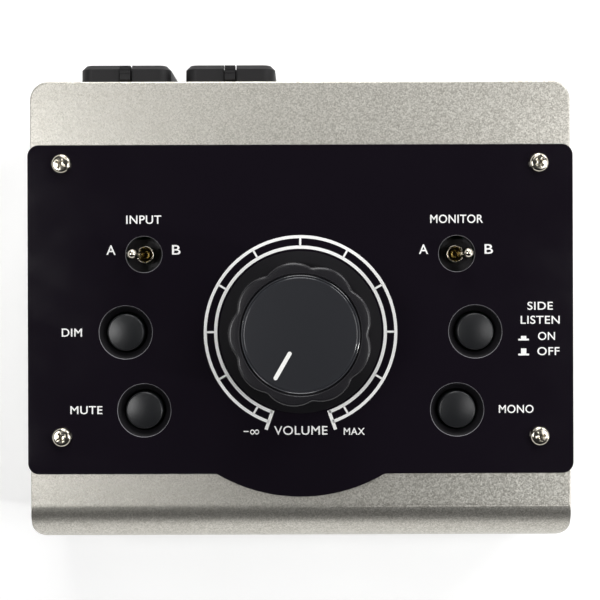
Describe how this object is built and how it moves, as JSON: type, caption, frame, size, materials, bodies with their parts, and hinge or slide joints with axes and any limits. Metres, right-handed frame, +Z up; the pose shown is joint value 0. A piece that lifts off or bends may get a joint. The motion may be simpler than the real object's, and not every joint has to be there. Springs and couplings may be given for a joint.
{
  "type": "studio monitor controller",
  "caption": "Low desktop audio box with a rolled front, a black control plate, a large scalloped volume knob, round push buttons, small toggle switches and rear sockets.",
  "frame": {"origin": "middle of the footprint, sockets included, on the surface that the feet stand on", "axes": "+Z up; +X to the right of someone facing the front; -Y towards that person, +Y to the sockets at the back"},
  "size_m": [0.148, 0.131, 0.0685],
  "materials": {
    "black_gloss": "gloss",
    "black_satin": "satin",
    "black_socket": "satin",
    "board_green": "solder mask",
    "brass": "polished",
    "cable_grey": "satin",
    "nickel": "polished",
    "phenolic": "matte",
    "rear_black": "powder coat",
    "resistor_blue": "lacquer",
    "rubber": "matte",
    "silver_paint": "satin metallic paint",
    "spring_steel": "bright",
    "steel_screw": "plated",
    "steel_sheet": "zinc plated",
    "white_plastic": "satin",
    "white_print": "matte"
  },
  "bodies": {
    "case": {"base_plate": "steel_sheet", "board_screws": "steel_screw", "cable_plugs": "black_satin", "connector_board": "board_green", "control_board": "board_green", "control_panel": "black_gloss", "dim_switch_housing": "black_socket", "dim_switch_spring": "spring_steel", "foot_screws": "steel_screw", "input_a_left_socket": "black_socket", "input_a_left_socket_contacts": "brass", "input_a_right_socket": "black_socket", "input_a_right_socket_contacts": "brass", "input_b_left_jack": "black_socket", "input_b_right_jack": "black_socket", "input_toggle_bushing": "nickel", "input_toggle_housing": "black_socket", "jack_nuts": "nickel", "jack_terminals": "brass", "monitor_a_left_jack": "black_socket", "monitor_a_right_jack": "black_socket", "monitor_b_left_jack": "black_socket", "monitor_b_right_jack": "black_socket", "monitor_toggle_bushing": "nickel", "monitor_toggle_housing": "black_socket", "mono_switch_housing": "black_socket", "mono_switch_spring": "spring_steel", "mute_switch_housing": "black_socket", "mute_switch_spring": "spring_steel", "pad_resistors": "resistor_blue", "panel_screws": "nickel", "pot_bushing": "nickel", "pot_gangs": "phenolic", "pot_nut": "nickel", "pot_washer": "nickel", "rear_panel": "rear_black", "rear_panel_screws": "steel_screw", "ribbon_cable": "cable_grey", "rubber_feet": "rubber", "side_listen_switch_housing": "black_socket", "side_listen_switch_spring": "spring_steel", "switch_terminals": "brass", "top_cover": "silver_paint"},
    "volume_knob": {"knob_body": "black_satin", "knob_cap": "black_satin", "knob_pointer": "white_print", "pot_shaft": "steel_screw"},
    "dim_button": {"dim_button_cap": "black_satin", "dim_switch_plunger": "white_plastic"},
    "mute_button": {"mute_button_cap": "black_satin", "mute_switch_plunger": "white_plastic"},
    "mono_button": {"mono_button_cap": "black_satin", "mono_switch_plunger": "white_plastic"},
    "side_listen_button": {"side_listen_button_cap": "black_satin", "side_listen_switch_plunger": "white_plastic"},
    "input_toggle_bat": {"input_toggle_lever": "nickel"},
    "monitor_toggle_bat": {"monitor_toggle_lever": "nickel"},
    "input_a_left_socket_release": {"input_a_left_socket_latch": "black_socket"},
    "input_a_right_socket_release": {"input_a_right_socket_latch": "black_socket"}
  },
  "joints": [
    {"name": "volume_turn", "type": "hinge", "parent": "case", "child": "volume_knob", "pos_m": [0, -0.0083, 0.0491], "axis": [0, 0, -1], "range_deg": [0, 300]},
    {"name": "dim_press", "type": "slide", "parent": "case", "child": "dim_button", "axis": [0, 0, -1], "range_m": [0, 0.0025], "stiffness_N_per_m": 600, "springref_m": -0.001, "deforming": ["dim_switch_spring"]},
    {"name": "mute_press", "type": "slide", "parent": "case", "child": "mute_button", "axis": [0, 0, -1], "range_m": [0, 0.0025], "stiffness_N_per_m": 600, "springref_m": -0.001, "deforming": ["mute_switch_spring"]},
    {"name": "mono_press", "type": "slide", "parent": "case", "child": "mono_button", "axis": [0, 0, -1], "range_m": [0, 0.0025], "stiffness_N_per_m": 600, "springref_m": -0.001, "deforming": ["mono_switch_spring"]},
    {"name": "side_listen_press", "type": "slide", "parent": "case", "child": "side_listen_button", "axis": [0, 0, -1], "range_m": [0, 0.0025], "stiffness_N_per_m": 600, "springref_m": -0.001, "deforming": ["side_listen_switch_spring"]},
    {"name": "input_toggle_throw", "type": "hinge", "parent": "case", "child": "input_toggle_bat", "pos_m": [-0.04242, 0.01285, 0.0419], "axis": [0, 1, 0], "range_deg": [0, 26]},
    {"name": "monitor_toggle_throw", "type": "hinge", "parent": "case", "child": "monitor_toggle_bat", "pos_m": [0.04242, 0.01285, 0.0419], "axis": [0, 1, 0], "range_deg": [-26, 0]},
    {"name": "input_a_left_socket_latch_press", "type": "slide", "parent": "case", "child": "input_a_left_socket_release", "axis": [0, 0, -1], "range_m": [0, 0.0009], "stiffness_N_per_m": 800, "springref_m": -0.0008},
    {"name": "input_a_right_socket_latch_press", "type": "slide", "parent": "case", "child": "input_a_right_socket_release", "axis": [0, 0, -1], "range_m": [0, 0.0009], "stiffness_N_per_m": 800, "springref_m": -0.0008}
  ]
}
